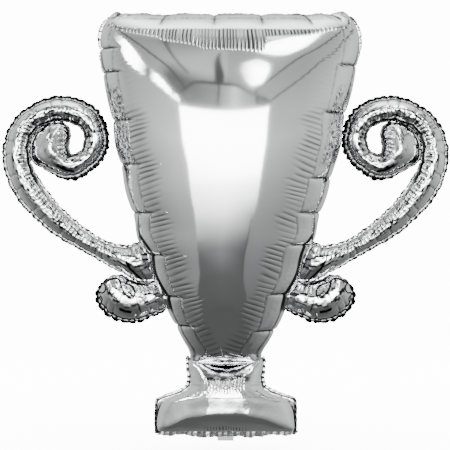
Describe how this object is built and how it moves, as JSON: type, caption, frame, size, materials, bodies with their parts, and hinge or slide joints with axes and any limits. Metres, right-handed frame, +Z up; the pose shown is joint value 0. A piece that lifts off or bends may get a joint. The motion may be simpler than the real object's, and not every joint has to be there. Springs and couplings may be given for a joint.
{
  "type": "trophy foil balloon",
  "caption": "Gas-filled silver foil balloon shaped like a trophy cup, with scrolled handles, a stepped base and a folded filling tail.",
  "frame": {"origin": "the ribbon tie: the middle of the base's lower border, just above the filling tail", "axes": "+Z up along the cup, +X towards the right handle as seen from the front, the front faces -Y"},
  "size_m": [0.708, 0.2268, 0.6782],
  "materials": {
    "silver_foil": "mirror-bright metallised film",
    "valve_film": "milky clear film"
  },
  "bodies": {
    "root": {"cup_front_film": "silver_foil", "cup_back_film": "silver_foil", "base_front_film": "silver_foil", "base_back_film": "silver_foil", "left_scroll_front_film": "silver_foil", "left_scroll_back_film": "silver_foil", "right_scroll_front_film": "silver_foil", "right_scroll_back_film": "silver_foil", "left_curl_front_film": "silver_foil", "left_curl_back_film": "silver_foil", "right_curl_front_film": "silver_foil", "right_curl_back_film": "silver_foil", "tail_inner_film": "silver_foil", "tail_outer_film": "silver_foil", "valve_sleeve": "valve_film"}
  },
  "joints": []
}
